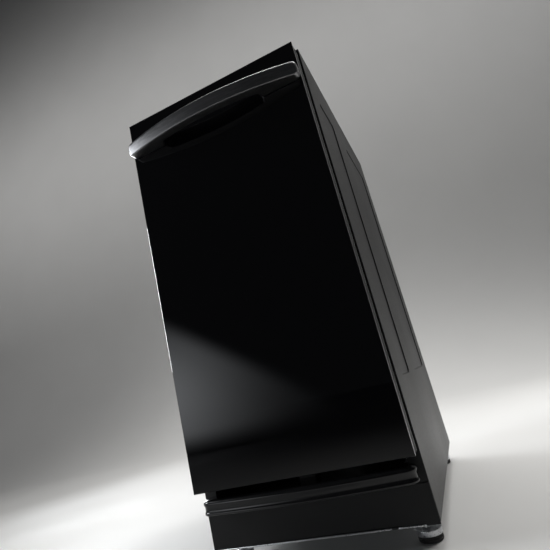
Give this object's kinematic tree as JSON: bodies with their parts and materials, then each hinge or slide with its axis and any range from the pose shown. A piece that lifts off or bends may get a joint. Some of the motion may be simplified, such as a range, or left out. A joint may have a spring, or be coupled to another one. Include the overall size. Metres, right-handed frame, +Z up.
{
  "type": "trash compactor",
  "caption": "Under-counter trash compactor: black glass drawer front with a bowed steel handle and toe pedal, pull-out container, and a motor-driven ram on twin power screws.",
  "frame": {"origin": "on the floor, under the centre of the whole machine's outline", "axes": "+Z up, +Y from the glass front into the machine, +X to the right of someone facing the glass"},
  "size_m": [0.379, 0.657, 0.867],
  "materials": {
    "black_glass": "polished black back-painted glass",
    "brushed_handle": "brushed along its length",
    "gloss_black": "gloss black enamel",
    "satin_black": "satin black powder coat",
    "cabinet_black": "satin black coil coat",
    "galvanised": "galvanised sheet",
    "enamel_white": "satin off-white enamel",
    "ram_enamel": "grey enamel",
    "machined_steel": "oiled machined steel",
    "chain_steel": "oiled dark steel",
    "bronze": "sintered bronze",
    "zinc": "bright zinc plate",
    "foot_rubber": "matte",
    "black_plastic": "fine moulded grain",
    "nylon": "natural nylon",
    "start_green": "gloss",
    "stop_red": "gloss",
    "motor_enamel": "hammered grey enamel",
    "spring_steel": "oiled spring wire"
  },
  "bodies": {
    "cabinet": {"left_side_panel": "cabinet_black", "right_side_panel": "cabinet_black", "top_panel": "cabinet_black", "counter_brackets": "satin_black", "rear_panel": "galvanised", "cord_gland": "black_plastic", "base_pan": "galvanised", "kick_plate": "satin_black", "left_track": "galvanised", "right_track": "galvanised", "left_upright": "galvanised", "right_upright": "galvanised", "crossbeam": "galvanised", "bearings": "bronze", "drive_chain": "chain_steel", "motor": "motor_enamel", "motor_bracket": "galvanised", "pedal_rod": "machined_steel", "pedal_spring": "spring_steel", "cabinet_fasteners": "zinc"},
    "drawer": {"glass_panel": "black_glass", "door_pan": "satin_black", "door_liner": "enamel_white", "door_bumpers": "foot_rubber", "handle": "brushed_handle", "control_strip": "black_plastic", "switch_board": "black_plastic", "drawer_tray": "galvanised", "container": "enamel_white", "left_drawer_rail": "galvanised", "right_drawer_rail": "galvanised", "drawer_fasteners": "zinc"},
    "ram": {"ram": "ram_enamel", "crosshead": "ram_enamel", "ram_nuts": "bronze"},
    "drive": {"drive_gear": "chain_steel", "drive_shaft": "machined_steel", "drive_sprocket": "chain_steel"},
    "left_screw": {"left_power_screw": "machined_steel", "left_sprocket": "chain_steel"},
    "right_screw": {"right_power_screw": "machined_steel", "right_sprocket": "chain_steel"},
    "rotor": {"motor_pinion": "machined_steel"},
    "pedal": {"toe_pedal": "gloss_black", "catch_magnet": "black_plastic"},
    "start": {"start_button": "start_green"},
    "stop": {"stop_button": "stop_red"},
    "key": {"key_switch": "machined_steel"},
    "front_left_leg_body": {"front_left_leg": "zinc", "front_left_foot": "foot_rubber"},
    "front_right_leg_body": {"front_right_leg": "zinc", "front_right_foot": "foot_rubber"},
    "rear_left_leg_body": {"rear_left_leg": "zinc", "rear_left_foot": "foot_rubber"},
    "rear_right_leg_body": {"rear_right_leg": "zinc", "rear_right_foot": "foot_rubber"},
    "front_left_roller_body": {"front_left_roller": "nylon"},
    "front_right_roller_body": {"front_right_roller": "nylon"},
    "rear_left_roller_body": {"rear_left_roller": "nylon"},
    "rear_right_roller_body": {"rear_right_roller": "nylon"}
  },
  "joints": [
    {"name": "drawer_slide", "type": "slide", "parent": "cabinet", "child": "drawer", "axis": [0, -1, 0], "range_m": [0, 0.45]},
    {"name": "drive_turn", "type": "hinge", "parent": "cabinet", "child": "drive", "pos_m": [0, 0.22067, 0.089], "axis": [0, 0, 1], "range_deg": [0, 13800]},
    {"name": "left_screw_turn", "type": "hinge", "parent": "cabinet", "child": "left_screw", "pos_m": [-0.156, -0.0195, 0.074], "axis": [0, 0, 1], "range_deg": [0, 13800]},
    {"name": "right_screw_turn", "type": "hinge", "parent": "cabinet", "child": "right_screw", "pos_m": [0.156, -0.0195, 0.074], "axis": [0, 0, 1], "range_deg": [0, 13800]},
    {"name": "ram_slide", "type": "slide", "parent": "cabinet", "child": "ram", "axis": [0, 0, -1], "range_m": [0, 0.23]},
    {"name": "motor_turn", "type": "hinge", "parent": "cabinet", "child": "rotor", "pos_m": [0.03646, 0.2605, 0.089], "axis": [0, 0, 1], "range_deg": [-48300, 0]},
    {"name": "pedal_press", "type": "hinge", "parent": "cabinet", "child": "pedal", "pos_m": [0, -0.1845, 0.11], "axis": [1, 0, 0], "range_deg": [0, 8], "stiffness_Nm_per_rad": 3, "springref_deg": -28.65},
    {"name": "start_press", "type": "slide", "parent": "drawer", "child": "start", "axis": [0, 0, -1], "range_m": [0, 0.0015], "stiffness_N_per_m": 400, "springref_m": -0.003},
    {"name": "stop_press", "type": "slide", "parent": "drawer", "child": "stop", "axis": [0, 0, -1], "range_m": [0, 0.0015], "stiffness_N_per_m": 400, "springref_m": -0.003},
    {"name": "key_turn", "type": "hinge", "parent": "drawer", "child": "key", "pos_m": [-0.06, -0.2665, 0.85], "axis": [0, 0, 1], "range_deg": [0, 90]},
    {"name": "front_left_leg_adjust", "type": "slide", "parent": "cabinet", "child": "front_left_leg_body", "axis": [0, 0, 1], "range_m": [-0.015, 0]},
    {"name": "front_right_leg_adjust", "type": "slide", "parent": "cabinet", "child": "front_right_leg_body", "axis": [0, 0, 1], "range_m": [-0.015, 0]},
    {"name": "rear_left_leg_adjust", "type": "slide", "parent": "cabinet", "child": "rear_left_leg_body", "axis": [0, 0, 1], "range_m": [-0.015, 0]},
    {"name": "rear_right_leg_adjust", "type": "slide", "parent": "cabinet", "child": "rear_right_leg_body", "axis": [0, 0, 1], "range_m": [-0.015, 0]},
    {"name": "front_left_roller_spin", "type": "hinge", "parent": "cabinet", "child": "front_left_roller_body", "pos_m": [-0.135, -0.2265, 0.19], "axis": [1, 0, 0], "range_deg": [0, 2344]},
    {"name": "front_right_roller_spin", "type": "hinge", "parent": "cabinet", "child": "front_right_roller_body", "pos_m": [0.135, -0.2265, 0.19], "axis": [1, 0, 0], "range_deg": [0, 2344]},
    {"name": "rear_left_roller_spin", "type": "hinge", "parent": "drawer", "child": "rear_left_roller_body", "pos_m": [-0.131, 0.2755, 0.1925], "axis": [1, 0, 0], "range_deg": [0, 2344]},
    {"name": "rear_right_roller_spin", "type": "hinge", "parent": "drawer", "child": "rear_right_roller_body", "pos_m": [0.131, 0.2755, 0.1925], "axis": [1, 0, 0], "range_deg": [0, 2344]}
  ],
  "couplings": [
    {"joint": "drive_turn", "follows": "ram_slide", "rad_per_m": 1047.2},
    {"joint": "left_screw_turn", "follows": "ram_slide", "rad_per_m": 1047.2},
    {"joint": "right_screw_turn", "follows": "ram_slide", "rad_per_m": 1047.2},
    {"joint": "motor_turn", "follows": "ram_slide", "rad_per_m": -3665.2},
    {"joint": "front_left_roller_spin", "follows": "drawer_slide", "rad_per_m": 90.909},
    {"joint": "front_right_roller_spin", "follows": "drawer_slide", "rad_per_m": 90.909},
    {"joint": "rear_left_roller_spin", "follows": "drawer_slide", "rad_per_m": 90.909},
    {"joint": "rear_right_roller_spin", "follows": "drawer_slide", "rad_per_m": 90.909}
  ]
}
